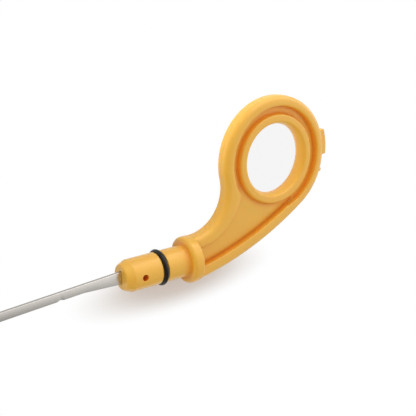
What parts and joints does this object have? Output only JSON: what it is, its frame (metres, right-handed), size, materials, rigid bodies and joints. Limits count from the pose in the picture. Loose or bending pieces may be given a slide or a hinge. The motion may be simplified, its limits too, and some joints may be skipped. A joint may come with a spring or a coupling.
{
  "type": "engine oil dipstick",
  "caption": "Oil dipstick: an offset finger-ring handle moulded with a flanged, O-ring-sealed plug, and a long thin steel blade held in the plug.",
  "frame": {"origin": "middle of the flange's seating face, on the plug's axis", "axes": "+X along the plug's axis toward the ring handle, with the plug and the blade on the -X side; +Y toward the side on which the ring is offset; +Z square to the ring's flat faces"},
  "size_m": [0.4271, 0.0773, 0.0178],
  "materials": {
    "handle_plastic": "satin amber yellow",
    "seal_rubber": "satin black",
    "blade_steel": "brushed along the blade"
  },
  "bodies": {
    "root": {"handle": "handle_plastic", "o_ring": "seal_rubber", "blade": "blade_steel"}
  },
  "joints": []
}
